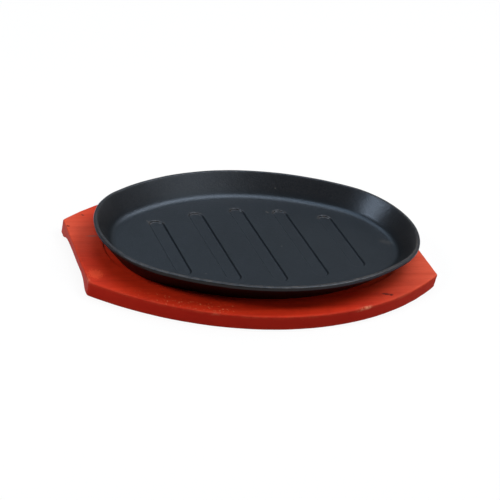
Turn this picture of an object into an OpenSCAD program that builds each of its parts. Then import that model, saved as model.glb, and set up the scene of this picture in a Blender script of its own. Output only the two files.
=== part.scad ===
// Oval cast iron sizzle platter on its red stained wooden base board.
// Two pieces: the platter is one casting, the board is cut from one plank.
// The board lies flat on z = 0 with its long way along x; the origin is the middle of its underside.

/* [Platter] */
// Length over the rim
platter_l = 280; // [250:1:290]
// Width over the rim
platter_w = 180; // [170:1:188]
// Height from the underside to the top of the rim
platter_h = 23.3; // [20:0.1:28]
// Thickness of the floor between the grooves
floor_t = 5.5; // [4.5:0.1:7]
// Width of the flat top of the rim
rim_w = 3; // [2.4:0.1:4]
// Height of the upright lip below the rim
lip_h = 3.2; // [2:0.1:5]
// Lean of the outside of the wall from upright, in degrees
outer_lean = 42; // [36:1:46]
// Thickness of the wall at its foot, measured level with the floor
wall_foot = 2.1; // [1.6:0.1:4]
// Radius where the wall runs into the floor
fillet_r = 8; // [4:0.5:12]
// Radius where the wall turns under to the base
base_r = 5; // [2:0.5:8]

/* [Grooves] */
// Width of one groove
groove_w = 13; // [8:0.5:18]
// Depth of the grooves
groove_depth = 1.2; // [0.8:0.1:2]
// Distance from one groove to the next
groove_pitch = 38.3; // [32:0.1:40]
// Length of the middle groove
groove_middle_l = 110; // [90:0.5:116]
// Length of the two grooves beside it
groove_second_l = 101; // [80:0.5:106]
// Length of the two outermost grooves
groove_outer_l = 79.5; // [60:0.5:84]

/* [Board] */
// Length between the two straight ends
board_l = 300; // [290:1:330]
// Width at the middle of the two curved sides
board_w = 196; // [190:1:210]
// Width of each straight end
board_end_w = 90; // [76:1:104]
// Thickness
board_t = 12.5; // [11:0.5:16]
// Rounding of the long edges and the ends
edge_r = 1.2; // [0.6:0.1:2.4]
// Rounding of the four upright corners
corner_r = 3; // [1.5:0.5:6]
// Depth of the pocket that takes the platter
pocket_depth = 1.5; // [1:0.1:3]
// Height of the finger scoop under each end
scoop_h = 5.5; // [4.5:0.1:7]
// Width of the flat part of each scoop
scoop_flat_w = 40; // [24:1:44]
// How far the flat part of each scoop reaches in
scoop_flat_l = 10; // [6:1:14]
// Radius of the run-out round the flat part
scoop_r = 30; // [20:1:40]

/* [Seat] */
// Shift of the platter along the board
seat_x = 2.4; // [0:0.1:3]
// Shift of the platter across the board
seat_y = -0.8; // [-1.5:0.1:0]
// Turn of the platter on the board, in degrees
seat_turn = 2.5; // [0:0.1:3]
// Air left between the platter and the pocket at their closest
seat_air = 0.4; // [0.3:0.1:1.5]

/* [Hidden] */
$fn = 72;
section_fn = 32;
side_fn = 144;
board_fn = 240;
lip_draft = 0.7;
rim_outer_r = 1.2;
rim_inner_r = 0.8;
crease_r = 1;

// The oval is four tangent arcs, two tight ends and two long sides, set out from a right triangle
// with sides of 28, 45 and 53. Its section keeps the same shape all round, square to the rim.
seam = [28, 45];
end_x = 0.7 * (platter_l - platter_w);
end_r = platter_l / 2 - end_x;
side_y = 1.125 * (platter_l - platter_w);
side_r = platter_w / 2 + side_y;
end_half = atan2(seam[1], seam[0]);

// Wall section, measured inwards from the rim and upwards from the underside
lip_z = platter_h - lip_h;
base_in = lip_draft + lip_z * tan(outer_lean);
floor_in = lip_draft + (lip_z - floor_t) * tan(outer_lean) + wall_foot;
band_in = max(base_in, floor_in) + fillet_r;

// Seat: the platter stands on the pocket's floor, so the pocket clears the shifted and turned wall
seat_z = board_t - pocket_depth;
play = max([for (a = [-end_half : 2 : end_half], s = [-1, 1])
    s * seat_x * cos(a) + (seat_y + s * end_x * sin(seat_turn)) * sin(a)]);
wall_in = lip_draft + (lip_z - pocket_depth) * tan(outer_lean);
pocket_in = floor(10 * (wall_in - play - seat_air)) / 10;

// Board outline: two arcs of one radius between two straight ends
sag = (board_w - board_end_w) / 2;
arc_r = (pow(board_l / 2, 2) + sag * sag) / (2 * sag);
arc_y = arc_r - board_w / 2;

// Length of each groove, from the left end to the right
groove_l = [groove_outer_l, groove_second_l, groove_middle_l, groove_second_l, groove_outer_l];

function unit(v) = v / norm(v);

// Tangent length and centre of a round corner at b, between its neighbours a and c
function corner_half(a, b, c) = acos(unit(a - b) * unit(c - b)) / 2;
function corner_cut(a, b, c, r) = r / tan(corner_half(a, b, c));
function corner_centre(a, b, c, r) =
    b + unit(unit(a - b) + unit(c - b)) * r / sin(corner_half(a, b, c));
function left_turn(a, b, c) = cross(b - a, c - b) > 0;

// Polygon, drawn anticlockwise, with its own radius at every corner
module rounded_polygon(p, r) {
    n = len(p);
    before = [for (i = [0 : n - 1]) p[(i + n - 1) % n]];
    after = [for (i = [0 : n - 1]) p[(i + 1) % n]];
    cut = [for (i = [0 : n - 1]) r[i] > 0 ? corner_cut(before[i], p[i], after[i], r[i]) : 0];
    round_at = [for (i = [0 : n - 1]) if (r[i] > 0) i];
    difference() {
        union() {
            polygon([for (i = [0 : n - 1], to = r[i] > 0 ? [before[i], after[i]] : [p[i]])
                to == p[i] ? p[i] : p[i] + unit(to - p[i]) * cut[i]]);
            for (i = round_at) if (left_turn(before[i], p[i], after[i]))
                translate(corner_centre(before[i], p[i], after[i], r[i])) circle(r[i], $fn = section_fn);
        }
        for (i = round_at) if (!left_turn(before[i], p[i], after[i]))
            translate(corner_centre(before[i], p[i], after[i], r[i])) circle(r[i], $fn = section_fn);
    }
}

// Wedge of the plan that one of the oval's arcs fills
module wedge(points) {
    translate([0, 0, -1]) linear_extrude(platter_h + 2) polygon(points);
}

// Carries a section round the oval; the section's x runs outwards and is 0 at the rim
module round_oval() {
    far = 8 * seam;
    for (half = [0, 180]) rotate([0, 0, half]) {
        intersection() {
            translate([end_x, 0, 0]) rotate_extrude() translate([end_r, 0]) children();
            wedge([[end_x, 0], [end_x + far[0], -far[1]], [2 * platter_l, -far[1]],
                [2 * platter_l, far[1]], [end_x + far[0], far[1]]]);
        }
        intersection() {
            translate([0, -side_y, 0]) rotate([0, 0, 90])
                rotate_extrude($fn = side_fn) translate([side_r, 0]) children();
            wedge([[0, -side_y], [end_x + far[0], far[1]], [-end_x - far[0], far[1]]]);
        }
    }
}

// Flat filling inside the oval, a distance in from the rim
module oval_fill(inset, height) {
    cap = [for (a = [-4 : 4]) [end_x, 0] + (end_r - inset) * [cos(a * end_half / 4), sin(a * end_half / 4)]];
    side = [for (a = [3 : -1 : -3]) [0, -side_y] + (side_r - inset) * [sin(a * (90 - end_half) / 4),
        cos(a * (90 - end_half) / 4)]];
    linear_extrude(height) polygon(concat(cap, side, -cap, -side));
}

// Solid oval plate, a distance in from the rim
module oval_plate(inset, height) {
    reach = (end_r - inset) * 0.6;
    round_oval() translate([-inset - reach, 0]) square([reach, height]);
    oval_fill(inset + reach / 2, height);
}

module wall_section() {
    rounded_polygon(
        [[-band_in, 0], [-base_in, 0], [-lip_draft, lip_z], [0, platter_h],
         [-rim_w, platter_h], [-floor_in, floor_t], [-band_in, floor_t]],
        [0, base_r, crease_r, rim_outer_r, rim_inner_r, fillet_r, 0]);
}

// Round-ended groove across the floor
module groove(length) {
    straight = length - groove_w;
    linear_extrude(platter_h) {
        square([groove_w, straight], center = true);
        for (s = [-1, 1]) translate([0, s * straight / 2]) circle(d = groove_w);
    }
}

module platter() {
    color([0.17, 0.19, 0.22])
    translate([seat_x, seat_y, seat_z]) rotate([0, 0, seat_turn])
    difference() {
        union() {
            round_oval() wall_section();
            oval_fill(band_in - fillet_r / 4, floor_t);
        }
        for (i = [0 : 4]) translate([(i - 2) * groove_pitch, 0, floor_t - groove_depth])
            groove(groove_l[i]);
    }
}

// Large round plate with softened edges; two of them cross to give the board's sides
module side_disc() {
    translate([0, -arc_y, 0]) rotate([0, 0, 90]) rotate_extrude($fn = board_fn)
        rounded_polygon([[0, 0], [arc_r, 0], [arc_r, board_t], [0, board_t]], [0, edge_r, edge_r, 0]);
}

// Long slab with softened ends
module end_slab() {
    x = board_l / 2;
    rotate([90, 0, 0]) linear_extrude(board_w + 20, center = true)
        rounded_polygon([[-x, 0], [x, 0], [x, board_t], [-x, board_t]], [edge_r, edge_r, edge_r, edge_r]);
}

// Sliver outside the round corner between one end and one curved side
module corner_waste() {
    x = board_l / 2;
    centre = [x - corner_r, sqrt(pow(arc_r - corner_r, 2) - pow(x - corner_r, 2)) - arc_y];
    out = unit(centre + [0, arc_y]);
    tip = centre + out * corner_r;
    translate([0, 0, -1]) linear_extrude(board_t + 2) difference() {
        polygon([centre, [x, centre[1]], [x + 5, centre[1]], [x + 5, tip[1] + 5], tip + out * 5, tip]);
        translate(centre) circle(corner_r);
    }
}

// Finger scoop: flat in the middle, running out to the underside on three sides
module scoop() {
    x = board_l / 2;
    y = scoop_flat_w / 2;
    drop = scoop_h - scoop_r;
    intersection() {
        translate([x - scoop_flat_l - scoop_r, 0, 0]) rotate([90, 0, 90]) linear_extrude(scoop_flat_l + scoop_r + 5) {
            for (s = [-1, 1]) translate([s * y, drop]) circle(scoop_r);
            translate([-y, -1]) square([2 * y, scoop_h + 1]);
        }
        rotate([90, 0, 0]) linear_extrude(2 * (y + scoop_r), center = true) {
            translate([x - scoop_flat_l, drop]) circle(scoop_r);
            translate([x - scoop_flat_l, -1]) square([scoop_flat_l + 6, scoop_h + 1]);
        }
    }
}

module base_board() {
    color([0.72, 0.22, 0.13])
    difference() {
        intersection() {
            side_disc();
            mirror([0, 1, 0]) side_disc();
            end_slab();
        }
        for (a = [0, 1], b = [0, 1]) mirror([a, 0, 0]) mirror([0, b, 0]) corner_waste();
        for (a = [0, 1]) mirror([a, 0, 0]) scoop();
        translate([0, 0, seat_z]) oval_plate(pocket_in, board_t);
    }
}

platter();
base_board();
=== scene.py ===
# %% [markdown]
# Sizzle platter on its stained board.
# The object is an oval cast iron platter that sits a little askew in the shallow pocket of a red
# stained board with two finger scoops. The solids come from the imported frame; this lesson dresses
# them. Everything is in metres, in the frame of the solids.

import math

import bmesh
import bpy
from mathutils import Matrix, Vector, geometry, noise


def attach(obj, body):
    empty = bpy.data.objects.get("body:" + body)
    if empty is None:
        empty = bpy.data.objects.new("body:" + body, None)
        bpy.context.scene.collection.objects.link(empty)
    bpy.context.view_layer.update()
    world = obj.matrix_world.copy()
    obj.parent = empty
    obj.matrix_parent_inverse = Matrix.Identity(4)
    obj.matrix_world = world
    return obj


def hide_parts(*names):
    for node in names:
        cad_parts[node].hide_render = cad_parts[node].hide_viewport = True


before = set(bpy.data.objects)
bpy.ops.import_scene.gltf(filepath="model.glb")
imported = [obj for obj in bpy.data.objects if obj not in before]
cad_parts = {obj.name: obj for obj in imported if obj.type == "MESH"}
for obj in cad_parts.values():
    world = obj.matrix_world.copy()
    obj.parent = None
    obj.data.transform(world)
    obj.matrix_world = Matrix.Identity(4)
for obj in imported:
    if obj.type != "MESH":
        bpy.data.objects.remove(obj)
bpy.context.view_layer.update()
MM = 0.001

# %% [markdown]
# The camera stands in front, a little to the left and above, and leans slightly to one side. Its
# focal length and place were worked out from the ends of the board, the rim and the grooves. A
# matrix of right, up and back says all of that at once.

# %% camera
camera_place = Vector((-433.432, -896.664, 601.211)) * MM
camera_right = Vector((0.928095, -0.318480, 0.192898))
camera_up = Vector((0.013289, 0.546067, 0.837636))
focal_pixels = 1413.6
photo_side = 500

camera_data = bpy.data.cameras.new("camera")
camera_data.sensor_width = 36
camera_data.lens = focal_pixels * camera_data.sensor_width / photo_side
camera_data.clip_start = 0.05
camera = bpy.data.objects.new("camera", camera_data)
camera_back = camera_right.cross(camera_up)
camera.matrix_world = Matrix.Translation(camera_place) @ Matrix(
    (camera_right, camera_up, camera_back)).transposed().to_4x4()
bpy.context.scene.collection.objects.link(camera)
bpy.context.scene.camera = camera
print("lens", round(camera_data.lens, 2), "mm")

# %% [markdown]
# A node tree is a list of nodes and wires. Helpers keep it short: "feed" fills an input with a
# value or a wire, "put" adds a node and feeds it, "first" gives its first output, some add a sum,
# and two make a group and use one.

# %% helpers for nodes
def feed(tree, socket, value):
    if isinstance(value, bpy.types.NodeSocket):
        tree.links.new(value, socket)
    else:
        socket.default_value = value


def put(tree, kind, feeds=None, **settings):
    made = tree.nodes.new(kind)
    spot = len(tree.nodes) - 1
    made.location = (190 * (spot // 7), -170 * (spot % 7))
    for name, value in settings.items():
        setattr(made, name, value)
    for name, value in (feeds or {}).items():
        feed(tree, made.inputs[name], value)
    return made


def first(tree, kind, feeds=None, **settings):
    return put(tree, kind, feeds, **settings).outputs[0]


def calc(tree, operation, *values, **settings):
    feeds = dict(enumerate(values))
    return first(tree, "ShaderNodeMath", feeds, operation=operation, **settings)


def vectors(tree, operation, *values):
    feeds = dict(enumerate(values))
    return put(tree, "ShaderNodeVectorMath", feeds, operation=operation).outputs


def clamped(tree, operation, *values):
    return calc(tree, operation, *values, use_clamp=True)


def times(tree, one, other):
    return calc(tree, "MULTIPLY", one, other)


def less(tree, one, other):
    return calc(tree, "SUBTRACT", one, other)


def combined(tree, **ways):
    return first(tree, "ShaderNodeCombineXYZ", ways)


def separated(tree, place):
    return put(tree, "ShaderNodeSeparateXYZ", {0: place}).outputs


def new_group(name, kind, inputs, outputs):
    tree = bpy.data.node_groups.new(name, kind)
    for title, value in inputs.items():
        socket = "NodeSocketVector" if isinstance(value, tuple) else \
            "NodeSocketMaterial" if value is None else "NodeSocketFloat"
        made = tree.interface.new_socket(name=title, in_out="INPUT", socket_type=socket)
        if value is not None:
            made.default_value = value
    for title, socket in outputs.items():
        tree.interface.new_socket(name=title, in_out="OUTPUT", socket_type=socket)
    return tree, put(tree, "NodeGroupInput").outputs, put(tree, "NodeGroupOutput").inputs


def use_group(tree, group, **feeds):
    in_geometry = tree.bl_idname == "GeometryNodeTree"
    made = put(tree, "GeometryNodeGroup" if in_geometry else "ShaderNodeGroup")
    made.node_tree = group
    for title, value in feeds.items():
        feed(tree, made.inputs[title.replace("_", " ")], value)
    return made.outputs


print("helpers ready")

# %% [markdown]
# The rim of the platter is an oval of four arcs: two tight ends and two long sides, set out from a
# triangle of 28, 45 and 53. A point of it is found from the direction that the rim faces there: the
# centre of the arc, plus the radius in that direction. A line further in has the same centres and a
# smaller radius, so one rule gives every line of the casting.

# %% rule of the oval
SEAM_SINE = 45 / 53
END_RATIO, SIDE_RATIO = 0.7, 1.125
oval_rule, sizes, result = new_group(
    "oval rule", "GeometryNodeTree",
    {"Facing": 0.0, "Inset": 0.0, "Length": 0.28, "Width": 0.18}, {"Place": "NodeSocketVector"})


def write_oval_rule(t):
    extra = less(t, sizes["Length"], sizes["Width"])
    end_x = times(t, extra, END_RATIO)
    end_r = less(t, times(t, sizes["Length"], 0.5), end_x)
    side_y = times(t, extra, SIDE_RATIO)
    side_r = calc(t, "MULTIPLY_ADD", sizes["Width"], 0.5, side_y)
    sine, cosine = calc(t, "SINE", sizes["Facing"]), calc(t, "COSINE", sizes["Facing"])
    on_end = calc(t, "LESS_THAN", calc(t, "ABSOLUTE", sine), SEAM_SINE)
    centre_x = times(t, times(t, calc(t, "SIGN", cosine), end_x), on_end)
    centre_y = times(t, times(t, calc(t, "SIGN", sine), side_y), less(t, on_end, 1.0))
    radius = calc(t, "MULTIPLY_ADD", on_end, less(t, end_r, side_r), side_r)
    radius = less(t, radius, sizes["Inset"])
    place = combined(t, X=calc(t, "MULTIPLY_ADD", radius, cosine, centre_x),
                     Y=calc(t, "MULTIPLY_ADD", radius, sine, centre_y))
    t.links.new(place, result["Place"])


write_oval_rule(oval_rule)
print("oval rule", len(oval_rule.nodes), "nodes")

# %% [markdown]
# Each groove in the floor is a slot with round ends. Its rule has two centres: half of the columns
# turn round the far one and half round the near one, and the straight sides come by themselves.

# %% rule of the grooves
SLOT_STEPS = 32
SLOT_COLUMNS = 2 * SLOT_STEPS + 2
slot_rule, slot_sizes, slot_result = new_group(
    "slot rule", "GeometryNodeTree",
    {"Column": 0.0, "Inset": 0.0, "Length": 0.11, "Width": 0.013, "Along": 0.0},
    {"Place": "NodeSocketVector"})


def write_slot_rule(t):
    per_end = SLOT_STEPS + 1.0
    column = calc(t, "MODULO", slot_sizes["Column"], 2 * per_end)
    near = calc(t, "GREATER_THAN", column, per_end - 0.5)
    step = calc(t, "MULTIPLY_ADD", near, -per_end, column)
    step = calc(t, "MULTIPLY_ADD", near, float(SLOT_STEPS), step)
    facing = times(t, step, math.pi / SLOT_STEPS)
    radius = less(t, times(t, slot_sizes["Width"], 0.5), slot_sizes["Inset"])
    reach = times(t, less(t, slot_sizes["Length"], slot_sizes["Width"]), 0.5)
    centre = times(t, reach, calc(t, "MULTIPLY_ADD", near, -2.0, 1.0))
    place = combined(
        t, X=calc(t, "MULTIPLY_ADD", radius, calc(t, "COSINE", facing), slot_sizes["Along"]),
        Y=calc(t, "MULTIPLY_ADD", radius, calc(t, "SINE", facing), centre))
    t.links.new(place, slot_result["Place"])


write_slot_rule(slot_rule)
print("slot rule", len(slot_rule.nodes), "nodes")

# %% [markdown]
# A wall is a section carried along a rule. The section starts as a few corners, each with its own
# radius, and Fillet Curve rounds them. The long straights are then cut every few millimetres, so
# that the unevenness has points to move.

# %% sections
def placed(t, shape, **feeds):
    return first(t, "GeometryNodeSetPosition", {"Geometry": shape, **feeds})


def section_curve(t, corners, steps, longest):
    line = first(t, "GeometryNodeMeshLine", {"Count": len(corners)})
    index = first(t, "GeometryNodeInputIndex")
    spots = put(t, "GeometryNodeIndexSwitch", data_type="VECTOR")
    radii = put(t, "GeometryNodeIndexSwitch", data_type="FLOAT")
    for switch in (spots, radii):
        while len(switch.index_switch_items) < len(corners):
            switch.index_switch_items.new()
        t.links.new(index, switch.inputs["Index"])
    for number, (inset, height, radius) in enumerate(corners):
        feed(t, spots.inputs[str(number)], combined(t, X=inset, Z=height))
        feed(t, radii.inputs[str(number)], radius)
    curve = first(t, "GeometryNodeMeshToCurve", {
        "Mesh": placed(t, line, Position=spots.outputs[0])})
    curve = first(t, "GeometryNodeFilletCurve", {
        "Curve": curve, "Count": steps, "Radius": radii.outputs[0]}, mode="POLY")
    here = first(t, "GeometryNodeInputPosition")
    following = first(t, "GeometryNodeFieldAtIndex", {
        "Index": calc(t, "ADD", index, 1.0), "Value": here}, data_type="FLOAT_VECTOR")
    gap = vectors(t, "DISTANCE", here, following)["Value"]
    cuts = calc(t, "FLOOR", calc(t, "DIVIDE", gap, longest))
    return first(t, "GeometryNodeSubdivideCurve", {
        "Curve": curve, "Cuts": cuts})


print("sections ready")

# %% [markdown]
# A grid with one column for each step of the rule and one row for each point of the section takes
# its places from the two. The same rule also gives a closed loop, and loops fill into the flat
# sheets of the floor and the underside.

# %% walls and sheets
def walls(t, section, columns, place):
    count = put(t, "GeometryNodeAttributeDomainSize", {"Geometry": section},
                component="CURVE").outputs["Point Count"]
    grid = put(t, "GeometryNodeMeshGrid", {"Vertices X": columns + 1, "Vertices Y": count})
    index = calc(t, "ADD", first(t, "GeometryNodeInputIndex"), 0.5)
    column = calc(t, "FLOOR", calc(t, "DIVIDE", index, count))
    row = calc(t, "FLOOR", calc(t, "MODULO", index, count))
    picked = put(t, "GeometryNodeSampleIndex", {
        "Geometry": section, "Index": row,
        "Value": first(t, "GeometryNodeInputPosition")}, data_type="FLOAT_VECTOR")
    parts = separated(t, picked.outputs[0])
    lifted = vectors(t, "ADD", place(column, parts["X"]), combined(t, Z=parts["Z"]))[0]
    return placed(t, grid.outputs["Mesh"], Position=lifted), parts


def loop(t, columns, place, inset):
    ring = put(t, "GeometryNodeCurvePrimitiveCircle", {"Resolution": columns})
    index = first(t, "GeometryNodeInputIndex")
    return placed(t, ring.outputs["Curve"], Position=place(index, inset))


def joined(t, shapes):
    made = put(t, "GeometryNodeJoinGeometry")
    for one in shapes:
        t.links.new(one, made.inputs[0])
    return made.outputs[0]


def sheet(t, loops, height):
    filling = first(t, "GeometryNodeFillCurve", {"Curve": joined(t, loops)}, mode="TRIANGLES")
    return first(t, "GeometryNodeTransform", {
        "Geometry": filling, "Translation": combined(t, Z=height)})


def store(t, shape, name, value):
    return first(t, "GeometryNodeStoreNamedAttribute", {
        "Geometry": shape, "Name": name, "Value": value})


print("wall helpers ready")

# %% [markdown]
# The platter is one casting: a floor, a wall that leans out and a thick upright lip. Its section is
# seven corners. The tree has named inputs for the sizes, so that another size of the same platter
# is one change away.

# %% inputs and section of the casting
OVAL_COLUMNS, CORNER_STEPS, WALL_CUT = 288, 10, 2.2 * MM
BAND = 0.6 * MM
casting, cast, cast_result = new_group("oval casting", "GeometryNodeTree", {
    "Length": 0.28, "Width": 0.18, "Height": 0.0233, "Floor": 0.0055, "Rim Width": 0.003,
    "Lip Height": 0.0032, "Lip Draft": 0.0007, "Outer Lean": math.radians(42),
    "Wall Foot": 0.0021, "Fillet Radius": 0.008, "Base Radius": 0.005,
    "Rim Outer Radius": 0.0012, "Rim Inner Radius": 0.0008, "Crease Radius": 0.001,
    "Groove Width": 0.013, "Groove Depth": 0.0012, "Groove Pitch": 0.0383,
    "Groove Lip": 0.0005, "Groove Foot": 0.0005, "Groove Draft": 0.0005,
    "Middle Groove": 0.11, "Second Groove": 0.101, "Outer Groove": 0.0795,
    "Unevenness": 0.00012, "Seat Shift": (0.0024, -0.0008, 0.011),
    "Seat Turn": (0.0, 0.0, math.radians(2.5)), "Material": None},
    {"Geometry": "NodeSocketGeometry"})


def wall_section(t, lip_z):
    height, floor, rim = cast["Height"], cast["Floor"], cast["Rim Width"]
    lean = calc(t, "TANGENT", cast["Outer Lean"])
    base_in = calc(t, "MULTIPLY_ADD", lip_z, lean, cast["Lip Draft"])
    leans_by = calc(t, "MULTIPLY_ADD", less(t, lip_z, floor), lean, cast["Lip Draft"])
    floor_in = calc(t, "ADD", cast["Wall Foot"], leans_by)
    wall_rise = calc(t, "ARCTAN2", less(t, height, floor), less(t, floor_in, rim))
    floor_flat = calc(t, "MULTIPLY_ADD", cast["Fillet Radius"],
                      calc(t, "TANGENT", times(t, wall_rise, 0.5)), calc(t, "ADD", floor_in, BAND))
    base_flat = calc(t, "ADD", base_in, cast["Base Radius"])
    section = section_curve(t, (
        (base_flat, 0.0, 0.0), (base_in, 0.0, cast["Base Radius"]),
        (cast["Lip Draft"], lip_z, cast["Crease Radius"]),
        (0.0, height, cast["Rim Outer Radius"]), (rim, height, cast["Rim Inner Radius"]),
        (floor_in, floor, cast["Fillet Radius"]), (floor_flat, floor, 0.0)),
        CORNER_STEPS, WALL_CUT)
    return section, floor_flat, base_flat


print("casting inputs", len(casting.interface.items_tree))

# %% [markdown]
# Near the lip, where the real one was ground by hand, a fixed noise moves the surface by a tenth of
# a millimetre. Two attributes are stored for the coat: "edge" round the rim, where it wears thin
# first and where the material also paints a highlight, and "outside" for the outer face, which is
# darker and mirrors the red board.

# %% unevenness and marks of the wall
RIM_WEAR, OUTER_SLACK = 2.4 * MM, 0.8 * MM
LUMP_SCALE, UNEVEN_FROM, UNEVEN_RISE, NOISE_GAIN = 62.0, 0.15, 2.2, 4.0
PER_METRE_DOWN = 900.0


def made_uneven(t, shell, parts):
    up = calc(t, "DIVIDE", less(t, parts["Z"], cast["Floor"]), cast["Height"])
    near_lip = clamped(t, "MULTIPLY", less(t, up, UNEVEN_FROM), UNEVEN_RISE)
    amount = times(t, near_lip, times(t, cast["Unevenness"], NOISE_GAIN))
    lumps = put(t, "ShaderNodeTexNoise", {"Scale": LUMP_SCALE, "Detail": 2.0, "Roughness": 0.45})
    shove = vectors(t, "SUBTRACT", lumps.outputs["Color"], (0.5, 0.5, 0.5))[0]
    shove = put(t, "ShaderNodeVectorMath", {0: shove, "Scale": amount}, operation="SCALE")
    moved = placed(t, shell, Offset=shove.outputs[0])
    here = separated(t, first(t, "GeometryNodeInputPosition"))
    held_down = calc(t, "MINIMUM", here["Z"], cast["Height"])
    return placed(t, moved, Position=combined(t, X=here["X"], Y=here["Y"], Z=held_down))


def marked_wall(t, shell, parts, lip_z):
    across = calc(t, "MINIMUM", calc(t, "ABSOLUTE", parts["X"]),
                  calc(t, "ABSOLUTE", less(t, parts["X"], cast["Rim Width"])))
    down = less(t, cast["Height"], parts["Z"])
    squared = calc(t, "MULTIPLY_ADD", across, across, times(t, down, down))
    worn_and_highlit = clamped(t, "SUBTRACT", 1.0, calc(t, "DIVIDE", calc(t, "SQRT", squared), RIM_WEAR))
    outer_in = calc(t, "MULTIPLY_ADD", calc(t, "MAXIMUM", less(t, lip_z, parts["Z"]), 0.0),
                    calc(t, "TANGENT", cast["Outer Lean"]),
                    calc(t, "ADD", cast["Lip Draft"], OUTER_SLACK))
    outside = times(t, calc(t, "LESS_THAN", parts["X"], outer_in),
                    clamped(t, "MULTIPLY", down, PER_METRE_DOWN))
    return store(t, store(t, shell, "edge", worn_and_highlit), "outside", outside)


print("marks of the wall ready")

# %% [markdown]
# The grooves were cast with soft mouths and feet. Their far round ends are painted pale, partly
# rubbed wear and partly a painted highlight where the end catches the light, and the foot along
# each side is a thin black line of painted shade, so each groove stores "rubbed_and_highlit" and
# "crease_shade" beside "edge".
# The numbers are distances in from the mouth, and how fast a mark fades.

# %% one groove
OUTER_BAND, INNER_BAND = 3 * MM, 3.5 * MM
GROOVE_CORNER_STEPS, GROOVE_CUT = 5, 0.6 * MM
MOUTH_IN, MOUTH_WEAR, MOUTH_DEEP, MOUTH_SHARE = 0.1 * MM, 0.5 * MM, 0.4 * MM, 0.3
PALE_END_IN, PALE_END_MOST, PALE_END_FADE, END_FADE = 0.2 * MM, 1.3, 560.0, 320.0
CREASE_FROM, CREASE_TO, CREASE_RISE, CREASE_FADE = 0.1 * MM, 1.6 * MM, 2500.0, 1600.0


def slot_place(t, length, along):
    def round_the_slot(column, inset):
        return use_group(t, slot_rule, Column=column, Inset=inset, Length=length,
                         Width=cast["Groove Width"], Along=along)[0]
    return round_the_slot


def marked_groove(t, wall, cut, length):
    from_mouth = calc(t, "ABSOLUTE", less(t, cut["X"], MOUTH_IN))
    near_mouth = clamped(t, "SUBTRACT", 1.0, calc(t, "DIVIDE", from_mouth, MOUTH_WEAR))
    at_top = calc(t, "GREATER_THAN", cut["Z"], less(t, cast["Floor"], MOUTH_DEEP))
    marked = store(t, wall, "edge", times(t, times(t, near_mouth, at_top), MOUTH_SHARE))
    here = separated(t, first(t, "GeometryNodeInputPosition"))
    # The far round end is marked for a pale colour that is partly wear and partly a painted
    # highlight.
    far_end = calc(t, "MULTIPLY_ADD", length, 0.5, times(t, cast["Groove Width"], -0.5))
    round_end = clamped(t, "MULTIPLY", less(t, here["Y"], far_end), END_FADE)
    off_line = calc(t, "ABSOLUTE", less(t, cut["X"], PALE_END_IN))
    beside = clamped(t, "SUBTRACT", PALE_END_MOST, times(t, off_line, PALE_END_FADE))
    marked = store(t, marked, "rubbed_and_highlit", times(t, round_end, beside))
    # The foot of each groove side is marked for a thin line of painted shade.
    in_foot = times(t, clamped(t, "MULTIPLY", less(t, cut["X"], CREASE_FROM), CREASE_RISE),
                    clamped(t, "MULTIPLY", less(t, CREASE_TO, cut["X"]), CREASE_FADE))
    return store(t, marked, "crease_shade", times(t, in_foot, less(t, 1.0, round_end)))


print("groove ready,", SLOT_COLUMNS, "columns")

# %% [markdown]
# Wall, grooves, floor and underside are joined, and points that lie on each other are merged, which
# closes the casting. It is then turned and shifted to its seat in the board. Realize Instances and
# Set Material come last, so that the tree hands over a plain mesh with its coat.

# %% the casting put together
MERGE_WITHIN = 2e-6


def write_casting(t):
    floor = cast["Floor"]
    lip_z = less(t, cast["Height"], cast["Lip Height"])
    section, floor_flat, base_flat = wall_section(t, lip_z)

    def round_the_oval(column, inset):
        return use_group(t, oval_rule, Facing=times(t, column, 2 * math.pi / OVAL_COLUMNS),
                         Inset=inset, Length=cast["Length"], Width=cast["Width"])[0]

    shell, parts = walls(t, section, OVAL_COLUMNS, round_the_oval)
    pieces = [marked_wall(t, made_uneven(t, shell, parts), parts, lip_z)]
    mouths = []
    depth = less(t, floor, cast["Groove Depth"])
    bed_in = calc(t, "ADD", cast["Groove Draft"], INNER_BAND)
    slot_section = section_curve(t, (
        (-OUTER_BAND, floor, 0.0), (0.0, floor, cast["Groove Lip"]),
        (cast["Groove Draft"], depth, cast["Groove Foot"]), (bed_in, depth, 0.0)),
        GROOVE_CORNER_STEPS, GROOVE_CUT)
    for number, title in enumerate(("Outer", "Second", "Middle", "Second", "Outer")):
        length = cast[title + " Groove"]
        place = slot_place(t, length, times(t, cast["Groove Pitch"], number - 2.0))
        wall, cut = walls(t, slot_section, SLOT_COLUMNS, place)
        pieces.append(marked_groove(t, wall, cut, length))
        mouths.append(loop(t, SLOT_COLUMNS, place, -OUTER_BAND))
        pieces.append(sheet(t, [loop(t, SLOT_COLUMNS, place, bed_in)], depth))
    top_loop = loop(t, OVAL_COLUMNS, round_the_oval, floor_flat)
    under_loop = loop(t, OVAL_COLUMNS, round_the_oval, base_flat)
    pieces += [sheet(t, [top_loop] + mouths, floor), sheet(t, [under_loop], 0.0)]
    merged = first(t, "GeometryNodeMergeByDistance", {
        "Geometry": joined(t, pieces), "Distance": MERGE_WITHIN})
    smooth = first(t, "GeometryNodeSetShadeSmooth", {"Geometry": merged, "Shade Smooth": True})
    seated = first(t, "GeometryNodeTransform", {
        "Geometry": smooth, "Translation": cast["Seat Shift"], "Rotation": cast["Seat Turn"]})
    real = first(t, "GeometryNodeRealizeInstances", {"Geometry": seated})
    dressed = first(t, "GeometryNodeSetMaterial", {"Geometry": real, "Material": cast["Material"]})
    t.links.new(dressed, cast_result["Geometry"])


write_casting(casting)
print("casting tree", len(casting.nodes), "nodes")

# %% [markdown]
# Materials repeat a few steps: an attribute, a noise, a ramp from one value to another, and one
# colour laid over the next by a mask.

# %% helpers for materials
def attribute(t, name):
    return put(t, "ShaderNodeAttribute", attribute_name=name).outputs["Fac"]


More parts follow.
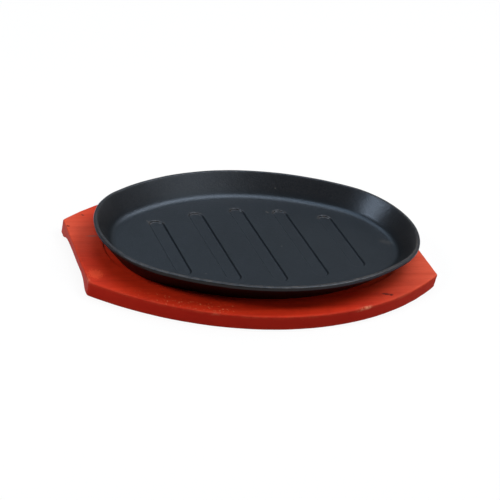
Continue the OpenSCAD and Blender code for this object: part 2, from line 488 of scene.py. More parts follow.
def cloud(t, place, scale, detail, rough=0.5, warp=0.0):
    return put(t, "ShaderNodeTexNoise", {
        "Vector": place, "Scale": scale, "Detail": detail, "Roughness": rough,
        "Distortion": warp}).outputs["Fac"]


def ramp(t, value, start, end, low=0.0, high=1.0, **settings):
    return first(t, "ShaderNodeMapRange", {
        "Value": value, "From Min": start, "From Max": end, "To Min": low, "To Max": high},
        **settings)


def blend(t, share, one, other):
    one, other = ((*c, 1.0) if isinstance(c, tuple) else c for c in (one, other))
    return put(t, "ShaderNodeMix", {0: share, 6: one, 7: other}, data_type="RGBA").outputs[2]


def layered(t, colour, layers):
    for share, over in layers:
        colour = blend(t, share, colour, over)
    return colour


def new_material(name):
    made = bpy.data.materials.new(name)
    made.use_nodes = True
    tree = made.node_tree
    tree.nodes.clear()
    shader = put(tree, "ShaderNodeBsdfPrincipled")
    put(tree, "ShaderNodeOutputMaterial", {"Surface": shader.outputs[0]})
    return made, tree, shader.inputs


print("material helpers ready")

# %% [markdown]
# Effects that materials share are shader groups. "grain" gives the pebbled skin of sand or sawn
# wood, and "edge wear" turns a marked edge into a broken mask. Groups give out only masks and
# heights; the shader itself stays in each material.

# %% groups for grain and worn edges
FLAT = (0.0, 0.0, 0.0)
grain, grain_in, grain_out = new_group("grain", "ShaderNodeTree", {
    "Vector": FLAT, "Scale": 800.0, "Fine Scale": 2600.0, "Fine Share": 0.4},
    {"Height": "NodeSocketFloat", "Tone": "NodeSocketFloat"})


def write_grain(t):
    pebbles = cloud(t, grain_in["Vector"], grain_in["Scale"], 3.0, 0.6)
    fine = cloud(t, grain_in["Vector"], grain_in["Fine Scale"], 1.0)
    mixed = first(t, "ShaderNodeMix", {0: grain_in["Fine Share"], 2: pebbles, 3: fine})
    t.links.new(mixed, grain_out["Height"])
    t.links.new(fine, grain_out["Tone"])


write_grain(grain)
edge_wear, wear_in, wear_out = new_group("edge wear", "ShaderNodeTree", {
    "Vector": FLAT, "Edge": 0.0, "Amount": 1.0, "Breakup": 400.0}, {"Mask": "NodeSocketFloat"})
WEAR_POWER, WEAR_FROM, WEAR_TO = 1.4, 0.36, 0.68


def write_edge_wear(t):
    patches = cloud(t, wear_in["Vector"], wear_in["Breakup"], 4.0, 0.65)
    kept = ramp(t, patches, WEAR_FROM, WEAR_TO)
    mask = times(t, calc(t, "POWER", wear_in["Edge"], WEAR_POWER), kept)
    t.links.new(clamped(t, "MULTIPLY", mask, wear_in["Amount"]), wear_out["Mask"])


write_edge_wear(edge_wear)
print("shader groups", grain.name, edge_wear.name)

# %% [markdown]
# "dust" scatters pale specks, each the middle of a Voronoi cell picked by its colour. "mark" is one
# scratch or dot: an oval at a place of its own, with a rim that a fine noise makes ragged.

# %% groups for specks and marks
dust, dust_in, dust_out = new_group("dust", "ShaderNodeTree", {
    "Vector": FLAT, "Scale": 300.0, "Size": 0.12, "Sparseness": 0.6},
    {"Mask": "NodeSocketFloat"})


def write_dust(t):
    cells = put(t, "ShaderNodeTexVoronoi", {
        "Vector": dust_in["Vector"], "Scale": dust_in["Scale"]}).outputs
    speck = calc(t, "LESS_THAN", cells["Distance"], dust_in["Size"])
    pick = first(t, "ShaderNodeSeparateColor", {0: cells["Color"]})
    chosen = calc(t, "GREATER_THAN", pick, dust_in["Sparseness"])
    t.links.new(times(t, speck, chosen), dust_out["Mask"])


write_dust(dust)
mark, mark_in, mark_out = new_group("mark", "ShaderNodeTree", {
    "Vector": FLAT, "Place": FLAT, "Turn": 0.0, "Length": 0.004, "Width": 0.001, "Ragged": 0.5},
    {"Mask": "NodeSocketFloat"})
MARK_DEEP, MARK_RAGGED_SCALE, MARK_CRISP = 4 * MM, 900.0, 5.0


def write_mark(t):
    away = vectors(t, "SUBTRACT", mark_in["Vector"], mark_in["Place"])[0]
    turned = first(t, "ShaderNodeVectorRotate", {
        "Vector": away, "Angle": mark_in["Turn"]}, rotation_type="Z_AXIS")
    across = combined(t, X=mark_in["Length"], Y=mark_in["Width"], Z=MARK_DEEP)
    far = vectors(t, "LENGTH", vectors(t, "DIVIDE", turned, across)[0])["Value"]
    rough_edge = cloud(t, mark_in["Vector"], MARK_RAGGED_SCALE, 2.0)
    shake = times(t, less(t, rough_edge, 0.5), mark_in["Ragged"])
    within = calc(t, "ADD", calc(t, "MULTIPLY_ADD", far, -1.0, 0.5), shake)
    t.links.new(clamped(t, "MULTIPLY", within, MARK_CRISP), mark_out["Mask"])


write_mark(mark)
print("shader groups", dust.name, mark.name)

# %% [markdown]
# Cast iron with its black baked coat is dark, a little blue and only half matt: lamps show in it as
# soft patches. The wall is a shade warmer and more speckled than the floor. A pale brown line runs
# along the rim, strongest at the front: partly wear and partly a painted highlight. The far ends of
# the grooves are painted pale, partly rubbed and partly a painted highlight, and the feet of the
# grooves get a thin line of painted shade. Three marks and a few scuffs lie where tools have
# touched.

# %% colours of the casting
FLOOR_TOP = 16.5 * MM
COAT_DARK, COAT_LIGHT = (0.0034, 0.0048, 0.0064), (0.0052, 0.0072, 0.0096)
WALL_TONE, GRAIN_TONE = (0.0085, 0.0076, 0.0085), (0.023, 0.023, 0.023)
# The worn and rubbed tones are partly wear and partly painted highlight; the crease tone is painted
# shade.
PEBBLE_TONE, WORN_AND_HIGHLIT_TONE = (0.026, 0.024, 0.023), (0.112, 0.094, 0.080)
RUBBED_HIGHLIGHT_TONE, SCRATCH_TONE = (0.055, 0.050, 0.048), (0.085, 0.076, 0.064)
SCUFF_TONE, CREASE_SHADE_TONE = (0.085, 0.085, 0.08), (0.0030, 0.0034, 0.0040)
OUTSIDE_TONE = (0.023, 0.021, 0.020)
WALL_SHARE, GRAIN_SHARE, SCUFF_SHARE, BACK_RIM_SHARE = 0.8, 0.17, 0.5, 0.3
PEBBLE_FROM, PEBBLE_RISE, PEBBLE_ON_WALL, PEBBLE_SHARE = 0.42, 5.0, 0.33, 0.09
iron_marks = (((28 * MM, 48 * MM, FLOOR_TOP), 0.9, 3.6 * MM, 1.4 * MM, 0.8),
              ((119.5 * MM, -0.8 * MM, FLOOR_TOP), 0.5, 13 * MM, 8 * MM, 0.22),
              ((-82 * MM, 34 * MM, FLOOR_TOP), 1.2, 6 * MM, 1.6 * MM, 0.5))
iron, t, iron_in = new_material("seasoned_iron")
place = put(t, "ShaderNodeTexCoord").outputs["Object"]
ways = separated(t, place)
skin = use_group(t, grain, Vector=place, Scale=700.0, Fine_Scale=1500.0, Fine_Share=0.35)
clouds = cloud(t, place, 34.0, 3.0, 0.55)
# The rim line is partly wear and partly a painted highlight, weighted to the front where the
# highlight lies.
front_highlight_share = ramp(t, ways["Y"], 20 * MM, -60 * MM, BACK_RIM_SHARE, 1.0)
up_the_wall = ramp(t, ways["Z"], FLOOR_TOP + 2 * MM, FLOOR_TOP + 7 * MM)
pebbled = clamped(t, "MULTIPLY", less(t, skin["Height"], PEBBLE_FROM), PEBBLE_RISE)
worn_and_highlit = use_group(t, edge_wear, Vector=place, Edge=times(t, attribute(t, "edge"), front_highlight_share),
                 Amount=1.0, Breakup=300.0)[0]
# Painted highlight and wear: the far ends of the grooves are painted pale.
rubbed_and_highlit = use_group(t, edge_wear, Vector=place, Edge=attribute(t, "rubbed_and_highlit"),
                   Amount=1.2, Breakup=420.0)[0]
scuffs = use_group(t, dust, Vector=place, Scale=90.0, Size=0.07, Sparseness=0.86)[0]
crease_shade, outside = attribute(t, "crease_shade"), attribute(t, "outside")
pebbled = times(t, pebbled, calc(t, "MULTIPLY_ADD", up_the_wall, PEBBLE_ON_WALL, PEBBLE_SHARE))
layers = [(times(t, up_the_wall, WALL_SHARE), WALL_TONE),
          (times(t, skin["Tone"], GRAIN_SHARE), GRAIN_TONE), (pebbled, PEBBLE_TONE),
          (worn_and_highlit, WORN_AND_HIGHLIT_TONE), (rubbed_and_highlit, RUBBED_HIGHLIGHT_TONE)]
for spot, turn, length, width, share in iron_marks:
    scratch = use_group(t, mark, Vector=place, Place=spot, Turn=turn, Length=length, Width=width,
                        Ragged=1.2)[0]
    layers.append((times(t, scratch, share), SCRATCH_TONE))
# The crease layer is painted shade along the feet of the grooves.
layers += [(times(t, scuffs, SCUFF_SHARE), SCUFF_TONE),
           (crease_shade, CREASE_SHADE_TONE), (outside, OUTSIDE_TONE)]
tone = layered(t, blend(t, clouds, COAT_DARK, COAT_LIGHT), layers)
t.links.new(tone, iron_in["Base Color"])
print("iron", len(layers), "layers")

# %% [markdown]
# The shine varies a little with the clouds and the grain, and is lost in the crease of the grooves.
# The outer face counts as bare metal, so it shows the red board and dark surroundings more than the
# white floor. Numbers that are the same all over sit on the shader's own sockets.

# %% shine of the casting
MATT_LEAST, MATT_MOST, MATT_GRAIN, MATT_CREASE, OUTSIDE_METAL = 0.32, 0.39, 0.09, 0.6, 0.9
rough = ramp(t, clouds, 0.0, 1.0, MATT_LEAST, MATT_MOST)
rough = calc(t, "MULTIPLY_ADD", less(t, skin["Tone"], 0.5), MATT_GRAIN, rough)
t.links.new(clamped(t, "MULTIPLY_ADD", crease_shade, MATT_CREASE, rough), iron_in["Roughness"])
t.links.new(times(t, outside, OUTSIDE_METAL), iron_in["Metallic"])
bump = first(t, "ShaderNodeBump", {
    "Strength": 0.42, "Distance": 0.45 * MM, "Height": skin["Height"]})
t.links.new(bump, iron_in["Normal"])
iron_in["Specular IOR Level"].default_value = 0.55
iron_in["Specular Tint"].default_value = (0.62, 0.78, 1.0, 1.0)
print("iron", len(t.nodes), "nodes")

# %% [markdown]
# The tree becomes the piece: an object with an empty mesh carries the modifier, its Material input
# is set by the socket's identifier, and the evaluated result is kept as a plain mesh. The mesh must
# be closed and face outwards, so it is measured.

# %% make the casting
def measured(name, mesh):
    shape = bmesh.new()
    shape.from_mesh(mesh)
    bmesh.ops.recalc_face_normals(shape, faces=shape.faces)
    shape.to_mesh(mesh)
    open_edges = sum(1 for e in shape.edges if not e.is_manifold)
    volume = shape.calc_volume(signed=True) * 1e6
    print(name, len(shape.faces), "faces", open_edges, "open edges", round(volume, 2), "cm3")
    shape.free()


def new_piece(name, mesh):
    made = bpy.data.objects.new(name, mesh)
    bpy.context.scene.collection.objects.link(made)
    return made


carrier = new_piece("casting_carrier", bpy.data.meshes.new("casting_carrier"))
modifier = carrier.modifiers.new("oval casting", "NODES")
modifier.node_group = casting
for item in casting.interface.items_tree:
    if item.name == "Material" and item.in_out == "INPUT":
        modifier[item.identifier] = iron
evaluated = carrier.evaluated_get(bpy.context.evaluated_depsgraph_get())
platter_mesh = bpy.data.meshes.new_from_object(evaluated)
platter_mesh.name = "platter_cast"
carrier.modifiers.remove(modifier)
bpy.data.objects.remove(carrier)
measured("platter_cast", platter_mesh)
platter_cast = new_piece("platter_cast", platter_mesh)
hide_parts("platter")
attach(platter_cast, "root")

# %% [markdown]
# The board was sawn from one plank: two long sides of one radius, two straight ends, all edges
# broken by hand. Its outline is again a list of places with the direction each faces, so that any
# line further in comes from the same list. The straight ends have many places, because the finger
# scoop cuts into their lower edge.

# %% outline of the board
HALF_LENGTH, HALF_WIDTH, END_HALF, THICK = 150 * MM, 97.95 * MM, 45 * MM, 12.5 * MM
CORNER_R, EDGE_R, FLAT_IN = 3 * MM, 1.2 * MM, 2.6 * MM
END_PLACES, ROUND_STEPS, SIDE_STEPS = 40, 8, 48
side_sag = HALF_WIDTH - END_HALF
side_radius = (HALF_LENGTH ** 2 + side_sag ** 2) / (2 * side_sag)
side_centre = side_radius - HALF_WIDTH
corner_x = HALF_LENGTH - CORNER_R
corner_y = math.sqrt((side_radius - CORNER_R) ** 2 - corner_x ** 2) - side_centre
corner_turn = math.atan2(corner_y + side_centre, corner_x)


def quarter_columns():
    for n in range(END_PLACES):
        yield corner_x, corner_y * n / END_PLACES, CORNER_R, 0.0
    for n in range(ROUND_STEPS + 1):
        yield corner_x, corner_y, CORNER_R, corner_turn * n / ROUND_STEPS
    for n in range(1, SIDE_STEPS + 1):
        turn = corner_turn + (math.pi / 2 - corner_turn) * n / SIDE_STEPS
        yield 0.0, -side_centre, side_radius, turn


def board_columns():
    first = list(quarter_columns())
    second = [(-x, y, r, math.pi - a) for x, y, r, a in reversed(first[1:-1])]
    upper = first + second
    return upper + [(-x, -y, r, a + math.pi) for x, y, r, a in upper]


def outline(column, inset):
    x, y, radius, facing = column
    reach = radius - inset
    return Vector((x + reach * math.cos(facing), y + reach * math.sin(facing)))


columns = board_columns()
print("board outline", len(columns), "places, side radius", round(side_radius / MM, 1), "mm")

# %% [markdown]
# Each finger scoop is flat in the middle of the end and runs out to the underside on three sides
# in an arc. As a height above the table it is one small sum, softened at the underside, and the
# same sum cuts the lower edge of the end.

# %% height of the scoops
SCOOP_HIGH, SCOOP_HALF, SCOOP_IN, SCOOP_R = 5.5 * MM, 20 * MM, 10 * MM, 30 * MM
SOFT = 1.2 * MM


def run_out(past):
    past = min(max(past, 0.0), SCOOP_R * 0.95)
    return SCOOP_HIGH - SCOOP_R + math.sqrt(SCOOP_R ** 2 - past ** 2)


def softened_max(a, b):
    near = max(SOFT - abs(a - b), 0.0) / SOFT
    return max(a, b) + near * near * SOFT / 4


def scoop(x, y):
    both = min(run_out(abs(y) - SCOOP_HALF), run_out(HALF_LENGTH - SCOOP_IN - abs(x)))
    return softened_max(both, 0.0)


print("scoop at the end", round(scoop(HALF_LENGTH, 0) / MM, 2), "mm")

# %% [markdown]
# The edge of the board is rings of the outline, from the underside round to the top. A fixed
# noise moves them by a few tenths of a millimetre, as sandpaper did. Where the edge is worn bare,
# a ring gives way by up to a millimetre. A worn spot is its place and reach in millimetres, and how
# strong the wear is.

# %% rings round the edge
worn_spots = (((64.0, -88.0), 9.0, 0.9), ((106.0, -76.0), 11.0, 0.15), ((-146.0, -40.0), 6.0, 0.7),
              ((-104.0, -69.0), 5.0, 0.35), ((-62.0, -89.0), 4.0, 0.3))
EDGE_STEPS, SIDE_RINGS = 6, 5
WEAR_STARTS, WEAR_RISE, PUSH_IN, PUSH_DOWN = THICK * 0.55, THICK * 0.45, 0.8, 0.55
BROAD_RUB, BROAD_SCALE, FINE_RUB, FINE_SCALE = 0.16, 90, 0.1, 420


def worn_here(x, y):
    total = 0.0
    for (spot_x, spot_y), reach, depth in worn_spots:
        far = math.hypot(x - spot_x * MM, y - spot_y * MM) / (reach * MM)
        total = max(total, depth * max(0.0, 1 - far * far))
    return total


def edge_rings():
    turns = [math.pi / 2 * n / EDGE_STEPS for n in range(EDGE_STEPS + 1)]
    lower = [(FLAT_IN, 0.0, "under")]
    lower += [(EDGE_R * (1 - math.sin(a)), EDGE_R * (1 - math.cos(a)), "under") for a in turns]
    middle = [(0.0, EDGE_R + (THICK - 2 * EDGE_R) * n / SIDE_RINGS, "side")
              for n in range(1, SIDE_RINGS)]
    return lower + middle + [(inset, THICK - up, "top") for inset, up, _ in reversed(lower)]


def rubbed_off(x, y, height):
    broad = BROAD_RUB * (noise.noise(Vector((x, y, height)) * BROAD_SCALE) + 0.5)
    fine = FINE_RUB * (noise.noise(Vector((x, y, height * 2)) * FINE_SCALE) + 0.5)
    return max(broad + fine, 0.0)


def board_point(column, ring):
    inset, height, kind = ring
    spot = outline(column, inset)
    floor = scoop(spot.x, spot.y)
    straight = THICK - 2 * EDGE_R
    if kind == "under":
        height += floor
    elif kind == "side":
        height = floor + (height - EDGE_R) * (straight - floor) / straight + EDGE_R
    up = (height - WEAR_STARTS) / WEAR_RISE
    wear = worn_here(spot.x, spot.y) * max(0.0, min(1.0, up))
    near_edge = max(0.0, 1 - inset / FLAT_IN)
    push = (rubbed_off(spot.x, spot.y, height) + wear * PUSH_IN) * near_edge * MM
    spot = outline(column, inset + push)
    if kind == "top" and wear > 0:
        height -= wear * PUSH_DOWN * near_edge * MM
    return spot.x, spot.y, height


rings = edge_rings()
print("edge", len(rings), "rings")

# %% [markdown]
# The top and the underside are filled by a triangulation between rings. It also takes loose points,
# which the underside needs for its scoops, and leaves the pocket open. The pocket follows the oval
# rule again, now in plain sums.

# %% filling and pocket line
def oval_place(facing, inset, length=280 * MM, width=180 * MM):
    end_x, side_y = END_RATIO * (length - width), SIDE_RATIO * (length - width)
    sine, cosine = math.sin(facing), math.cos(facing)
    if abs(sine) < SEAM_SINE:
        radius = length / 2 - end_x - inset
        return math.copysign(end_x, cosine) + radius * cosine, radius * sine
    radius = width / 2 + side_y - inset
    return radius * cosine, -math.copysign(side_y, sine) + radius * sine


def inside(spot, fence):
    odd = False
    for one, two in zip(fence, fence[1:] + fence[:1]):
        if (one.y > spot.y) != (two.y > spot.y) and \
                spot.x < one.x + (spot.y - one.y) / (two.y - one.y) * (two.x - one.x):
            odd = not odd
    return odd


def filled(shape, rows, inner, extra, height):
    flat = [v.co.xy for v in rows] + [v.co.xy for v in inner] + [Vector(e) for e in extra]
    known = {i: v for i, v in enumerate(list(rows) + list(inner))}
    count, more = len(rows), len(inner)
    edges = [(i, (i + 1) % count) for i in range(count)]
    edges += [(count + i, count + (i + 1) % more) for i in range(more)]
    points, _, faces, origins, _, _ = geometry.delaunay_2d_cdt(flat, edges, [], 1, 1e-7, True)
    hole = flat[count:count + more]
    verts = []
    for spot, origin in zip(points, origins):
        old = [known[o] for o in origin if o in known]
        verts.append(old[0] if old else shape.verts.new((*spot, height(*spot))))
    for face in faces:
        middle = sum((points[i] for i in face), Vector((0, 0))) / 3
        if not (more and inside(middle, hole)):
            shape.faces.new([verts[i] for i in face])


print("oval end", round(oval_place(0.0, 0.0)[0] / MM, 1), "mm")

# %% [markdown]
# The board is put together: edge rings, pocket, top and underside. Three attributes go with it for
# the stain: "edge" along every broken edge, "bare" where it is worn to the wood, and "side" on the
# sawn sides.

# %% board mesh
POCKET_IN, POCKET_Z = 13.7 * MM, 11 * MM
POCKET_STEPS, POCKET_SOFT, SIDE_WEAR = 192, 0.6 * MM, 3.4 * MM
DENT_ROWS, DENT_HALF, DENT_ALONG, DENT_ACROSS = 24, 22, 1.2, 1.9


def pocket_lines():
    lip_in, lip_z = POCKET_IN - POCKET_SOFT, THICK - POCKET_SOFT
    yield lip_in - 1.2 * MM, THICK
    for a in (math.pi / 2 * n / 5 for n in range(6)):
        yield lip_in + POCKET_SOFT * math.sin(a), lip_z + POCKET_SOFT * math.cos(a)
    yield POCKET_IN, POCKET_Z + 0.2 * MM
    yield POCKET_IN + 0.2 * MM, POCKET_Z
    yield POCKET_IN + 1.5 * MM, POCKET_Z


def joined_rows(shape, rows, outwards):
    for one, two in zip(rows, rows[1:]):
        for i, a in enumerate(one):
            after = (i + 1) % len(one)
            around = (a, one[after], two[after], two[i])
            shape.faces.new(around if outwards else (a, two[i], two[after], one[after]))


def board_mesh():
    shape = bmesh.new()
    near_edge = shape.verts.layers.float.new("edge")
    bare = shape.verts.layers.float.new("bare")
    on_side = shape.verts.layers.float.new("side")
    rows = []
    for ring in rings:
        inset, height, kind = ring
        row = [shape.verts.new(board_point(c, ring)) for c in columns]
        for v in row:
            v[near_edge] = max(0.0, 1 - min(height, THICK - height) / SIDE_WEAR) \
                if kind == "side" else max(0.0, 1 - inset / FLAT_IN)
            v[bare] = worn_here(v.co.x, v.co.y) * v[near_edge] * (v.co.z > THICK * 0.7)
            v[on_side] = 1.0 if kind == "side" else max(0.0, 1 - inset / EDGE_R) ** 2
        rows.append(row)
    joined_rows(shape, rows, True)
    turns = [2 * math.pi * (i + 0.5) / POCKET_STEPS for i in range(POCKET_STEPS)]
    cut = [[shape.verts.new((*oval_place(a, inset), height)) for a in turns]
           for inset, height in pocket_lines()]
    for v in cut[3]:
        v[near_edge] = 0.5
    joined_rows(shape, cut, False)
    shape.faces.new(list(cut[-1]))
    filled(shape, rows[-1], cut[0], [], lambda x, y: THICK)
    dents = [(side * (HALF_LENGTH - FLAT_IN - (i + 0.7) * DENT_ALONG * MM), j * DENT_ACROSS * MM)
             for side in (-1, 1) for i in range(DENT_ROWS)
             for j in range(-DENT_HALF, DENT_HALF + 1)]
    filled(shape, rows[0], [], dents, scoop)
    bmesh.ops.recalc_face_normals(shape, faces=shape.faces)
    for face in shape.faces:
        face.smooth = True
    made = bpy.data.meshes.new("board")
    shape.to_mesh(made)
    shape.free()
    return made


board_body = board_mesh()
measured("board", board_body)

# %% [markdown]
# The wood is a pale plank under a red stain. The grain runs along the board: long streaks of tone
# with fine pores in them. Blotches darken it here and there. The right end and the back of the left
# end are painted paler as painted light, where the lamps reach the board clear of the platter's
# shade, and the sides are painted a darker crimson, partly stain and partly painted shade on faces
# turned from the light above.

# %% stain of the board
# Painted light: the lit ends are painted paler, and the left end darker towards the front.
LIT_RIGHT_FROM, LIT_LEFT_FROM, LIT_BACK_TO, SHADED_FRONT_FROM = 62 * MM, -112 * MM, 35 * MM, -15 * MM
STREAK_DARK, STREAK_PALE = (0.43, 0.014, 0.003), (0.67, 0.036, 0.009)
BROAD_RED, BLOTCH_RED, PAINTED_LIGHT_RED = (0.54, 0.024, 0.006), (0.34, 0.010, 0.003), (0.74, 0.108, 0.052)
PORE_RED, SIDE_RED_AND_SHADE = (0.2, 0.02, 0.012), (0.42, 0.012, 0.006)
BROAD_SHARE, BLOTCH_SHARE, PORE_SHARE, SIDE_SHADE_SHARE = 0.4, 0.45, 0.35, 0.75
BLOTCH_FROM, BLOTCH_RISE, PORE_UNDER, PORE_RISE, LIT_LEFT_AT_FRONT = 0.48, 3.2, 0.42, 5.0, 0.1
stain, t, stain_in = new_material("red_stained_wood")
place = put(t, "ShaderNodeTexCoord").outputs["Object"]
ways = separated(t, place)
long_way = first(t, "ShaderNodeMapping", {"Vector": place, "Scale": (0.06, 1.0, 1.0)})
streaks = cloud(t, long_way, 150.0, 4.0, 0.6, warp=0.6)
pores = cloud(t, long_way, 1500.0, 2.0, 0.6)
broad = cloud(t, place, 22.0, 2.0)
blotches = cloud(t, place, 75.0, 3.0, 0.6)
sharper = ramp(t, streaks, 0.2, 0.8)
darker = clamped(t, "MULTIPLY", less(t, blotches, BLOTCH_FROM), BLOTCH_RISE)
# Painted light on the right end and on the back of the left end.
lit_right_end = ramp(t, ways["X"], LIT_RIGHT_FROM, HALF_LENGTH)
lit_towards_back = ramp(t, ways["Y"], SHADED_FRONT_FROM, LIT_BACK_TO)
lit_left_end = times(t, ramp(t, ways["X"], LIT_LEFT_FROM, -HALF_LENGTH),
                 calc(t, "MULTIPLY_ADD", lit_towards_back, 0.9, LIT_LEFT_AT_FRONT))
painted_light = times(t, calc(t, "MAXIMUM", lit_right_end, lit_left_end),
              calc(t, "MULTIPLY_ADD", sharper, 0.5, 0.5))
dark_pores = clamped(t, "MULTIPLY", less(t, PORE_UNDER, pores), PORE_RISE)
side = attribute(t, "side")
# The sides are painted a darker crimson, partly stain and partly painted shade for faces turned
# from the light above.
red = layered(t, blend(t, sharper, STREAK_DARK, STREAK_PALE), (
    (times(t, broad, BROAD_SHARE), BROAD_RED), (times(t, darker, BLOTCH_SHARE), BLOTCH_RED),
    (painted_light, PAINTED_LIGHT_RED), (times(t, dark_pores, PORE_SHARE), PORE_RED),
    (times(t, side, SIDE_SHADE_SHARE), SIDE_RED_AND_SHADE)))
print("stain", len(t.nodes), "nodes")

# %% [markdown]
# Wear lies on top. The stain is thin along the edges, which also carry a painted highlight where
# the rounded edge catches the light, and gone in a few spots. Pale flecks lie in a band along the
# front edge, left of the middle. A dark crack in two parts, two dots, a grey streak and a painted
# patch of light near the left front corner are marks, each with place, turn, length, width and
# colour.

# %% wear of the board
FLECK_BAND, FLECK_MIDDLE, FLECK_HALF = 17 * MM, -76 * MM, 42 * MM
FLECK_FROM, FLECK_RISE, FLECK_GAIN, FLECK_SHARE, DOT_SHARE = 0.785, 9.0, 0.16, 0.65, 0.85
RUBBED_HIGHLIGHT_RED, BARE_WOOD, FLECK_TONE = (0.62, 0.12, 0.05), (0.78, 0.27, 0.15), (0.82, 0.25, 0.12)
# The last mark is a painted patch of light near the left front corner.
DARK, GREY, PAINTED_LIGHT_SPOT = (0.05, 0.010, 0.008), (0.36, 0.10, 0.08), (0.74, 0.066, 0.022)
wood_marks = (((90 * MM, -71 * MM, THICK), 0.25, 8 * MM, 3.4 * MM, DARK),
              ((94 * MM, -72.6 * MM, THICK), -0.5, 4.6 * MM, 2.4 * MM, DARK),
              ((-148 * MM, 34.5 * MM, THICK), 0.3, 3 * MM, 2 * MM, DARK),
              ((-132 * MM, 51 * MM, THICK), 0.8, 3 * MM, 1.6 * MM, DARK),
              ((-131.5 * MM, 19.4 * MM, THICK), 0.02, 12 * MM, 2.4 * MM, GREY),
              ((-142 * MM, -34 * MM, THICK), 0.0, 14 * MM, 15 * MM, PAINTED_LIGHT_SPOT))
# The pale line along the edges is partly thin stain and partly a painted highlight on the rounded
# edge.
rubbed_and_highlit = use_group(t, edge_wear, Vector=place, Edge=attribute(t, "edge"),
                   Amount=0.22, Breakup=220.0)[0]
bare = use_group(t, edge_wear, Vector=place, Edge=attribute(t, "bare"),
                 Amount=2.2, Breakup=300.0)[0]
from_middle = vectors(t, "ADD", place, (0.0, -side_centre, 0.0))[0]
from_middle = vectors(t, "MULTIPLY", from_middle, (1.0, 1.0, 0.0))[0]
reach = vectors(t, "LENGTH", from_middle)["Value"]
along_front = clamped(t, "MULTIPLY", ramp(t, reach, side_radius - FLECK_BAND, side_radius), 3.0)
on_top = clamped(t, "MULTIPLY_ADD", side, -3.0, 1.0)
sideways = calc(t, "ABSOLUTE", less(t, ways["X"], FLECK_MIDDLE))
in_band = clamped(t, "SUBTRACT", 1.5, calc(t, "DIVIDE", sideways, FLECK_HALF))
flecked = times(t, times(t, along_front, on_top), in_band)
chips = calc(t, "MULTIPLY_ADD", flecked, FLECK_GAIN, cloud(t, place, 560.0, 1.0, 0.4))
flecks = clamped(t, "MULTIPLY", less(t, chips, FLECK_FROM), FLECK_RISE)
layers = [(rubbed_and_highlit, RUBBED_HIGHLIGHT_RED), (bare, BARE_WOOD), (times(t, flecks, FLECK_SHARE), FLECK_TONE)]
for spot, turn, length, width, colour in wood_marks:
    dot = use_group(t, mark, Vector=place, Place=spot, Turn=turn, Length=length, Width=width,
                    Ragged=0.8)[0]
    layers.append((times(t, dot, DOT_SHARE), colour))
t.links.new(layered(t, red, layers), stain_in["Base Color"])
print("wear", len(layers), "layers")

# %% [markdown]
# The lacquer is thin and satin, so the pores still show, and the long sawn sides are almost matt.

# %% shine of the board
SATIN_DARK, SATIN_PALE, SIDE_MATT, END_STRIP = 0.62, 0.5, 0.3, 1.5 * MM
skin = use_group(t, grain, Vector=long_way, Scale=900.0, Fine_Scale=2400.0, Fine_Share=0.3)
bump = first(t, "ShaderNodeBump", {
    "Strength": 0.3, "Distance": 0.3 * MM, "Height": skin["Height"]})
t.links.new(bump, stain_in["Normal"])
off_the_ends = calc(t, "LESS_THAN", calc(t, "ABSOLUTE", ways["X"]), HALF_LENGTH - END_STRIP)
rough = ramp(t, streaks, 0.0, 1.0, SATIN_DARK, SATIN_PALE)
rough = clamped(t, "MULTIPLY_ADD", times(t, side, off_the_ends), SIDE_MATT, rough)
t.links.new(rough, stain_in["Roughness"])
stain_in["Specular IOR Level"].default_value = 0.12
board_body.materials.append(stain)
board = new_piece("board", board_body)
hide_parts("base_board")
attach(board, "root")
print("wood", len(t.nodes), "nodes")

# %% [markdown]
# The photograph has a pure white ground, so the floor is mostly white to the camera and in
# reflections, and keeps a soft shadow of the board. For light that only bounces, it is plain grey.
# It lies a hair under the board and is clear from below, so that the underside shows.

# %% floor
FLOOR_HALF, FLOOR_Z, WHITE_SHARE = 4.0, -0.05 * MM, 0.9
WHITE, PALE_PAINT, MATT_PAINT = (1.0,) * 4, (0.95, 0.95, 0.95, 1.0), (0.45, 0.45, 0.45, 1.0)
floor_material = bpy.data.materials.new("pale_floor")
floor_material.use_nodes = True
t = floor_material.node_tree
t.nodes.clear()


def mixed_shader(share, one, other):
    return first(t, "ShaderNodeMixShader", {0: share, 1: one, 2: other})


path = put(t, "ShaderNodeLightPath").outputs
seen = calc(t, "MAXIMUM", path["Is Camera Ray"], path["Is Glossy Ray"])
seen = calc(t, "MAXIMUM", seen, path["Is Transmission Ray"])
matt = first(t, "ShaderNodeBsdfDiffuse", {"Color": MATT_PAINT})
pale = first(t, "ShaderNodeBsdfDiffuse", {"Color": PALE_PAINT})
white = first(t, "ShaderNodeEmission", {"Color": WHITE, "Strength": 1.0})
clear = first(t, "ShaderNodeBsdfTransparent")
ground = mixed_shader(seen, matt, mixed_shader(WHITE_SHARE, pale, white))
from_below = put(t, "ShaderNodeNewGeometry").outputs["Backfacing"]
put(t, "ShaderNodeOutputMaterial", {"Surface": mixed_shader(from_below, ground, clear)})

floor_mesh = bpy.data.meshes.new("floor")
floor_corners = [(x * FLOOR_HALF, y * FLOOR_HALF, FLOOR_Z)
                 for x, y in ((-1, -1), (1, -1), (1, 1), (-1, 1))]
floor_mesh.from_pydata(floor_corners, [], [(0, 1, 2, 3)])
floor_mesh.materials.append(floor_material)
floor = new_piece("floor", floor_mesh)
print("floor", 2 * FLOOR_HALF, "m wide")

# %% [markdown]
# Round the floor, the room is white to the camera. The iron mirrors it as dark, with a narrow pale
# band just above the floor.

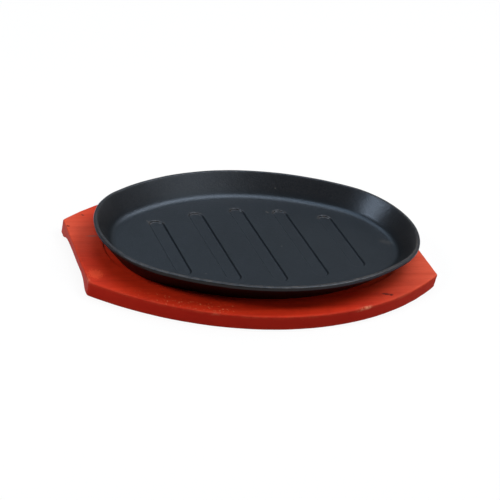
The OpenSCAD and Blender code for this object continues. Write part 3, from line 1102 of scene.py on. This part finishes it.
# %% world
WORLD_LEVEL, PALE_FROM, PALE_UP_TO = 0.08, 0.03, 0.14
world = bpy.data.worlds.new("studio")
world.use_nodes = True
bpy.context.scene.world = world
t = world.node_tree
t.nodes.clear()
height = separated(t, put(t, "ShaderNodeTexCoord").outputs["Generated"])["Z"]
level = ramp(t, height, PALE_FROM, PALE_UP_TO, 1.0, WORLD_LEVEL, interpolation_type="SMOOTHSTEP")
shown = calc(t, "MAXIMUM", level, put(t, "ShaderNodeLightPath").outputs["Is Camera Ray"])
sky = first(t, "ShaderNodeBackground", {"Color": WHITE, "Strength": shown})
put(t, "ShaderNodeOutputWorld", {"Surface": sky})
print("world level", WORLD_LEVEL)

# %% [markdown]
# The photograph's room has several windows and lamps, which show in the black iron as soft
# patches. Seven soft boxes stand for them: a key behind right, a small one at the left for the
# bright patch on the right inner wall, one at the front right for the back wall, three large weak
# ones above, at the right and behind, and a faint low panel far behind that the floor mirrors. Each
# power was fitted to the light that box alone gives.

# %% lamps
PLAIN, WARM, COOL = (1.0, 1.0, 1.0), (1.0, 0.94, 0.86), (0.80, 0.91, 1.0)


def soft_box(name, towards, far, size, watts, colour=PLAIN):
    data = bpy.data.lights.new(name, "AREA")
    data.shape = "RECTANGLE"
    data.size, data.size_y = size
    data.energy, data.color = watts, colour
    made = bpy.data.objects.new(name, data)
    direction = Vector(towards).normalized()
    made.location = direction * far
    made.rotation_euler = direction.to_track_quat("Z", "Y").to_euler()
    bpy.context.scene.collection.objects.link(made)


soft_box("key", (0.474, 0.296, 0.829), 1.6, (0.6, 0.6), 3.5)
soft_box("left", (-0.755, -0.13, 0.643), 1.5, (0.32, 0.28), 8.2)
soft_box("front right", (0.62, -0.55, 0.56), 1.8, (0.8, 0.8), 4.4, WARM)
soft_box("above", (-0.02, 0.0, 1.0), 1.8, (0.9, 0.9), 8.0, COOL)
soft_box("right", (0.53, 0.0, 0.848), 1.8, (0.9, 0.9), 12.8)
soft_box("behind", (0.0, 0.53, 0.848), 1.8, (0.9, 0.9), 5.2, COOL)
soft_box("far panel", (0.3, 0.85, 0.43), 1.8, (1.2, 0.6), 0.6, COOL)

# %% finish
bpy.context.scene.view_settings.view_transform = "Standard"
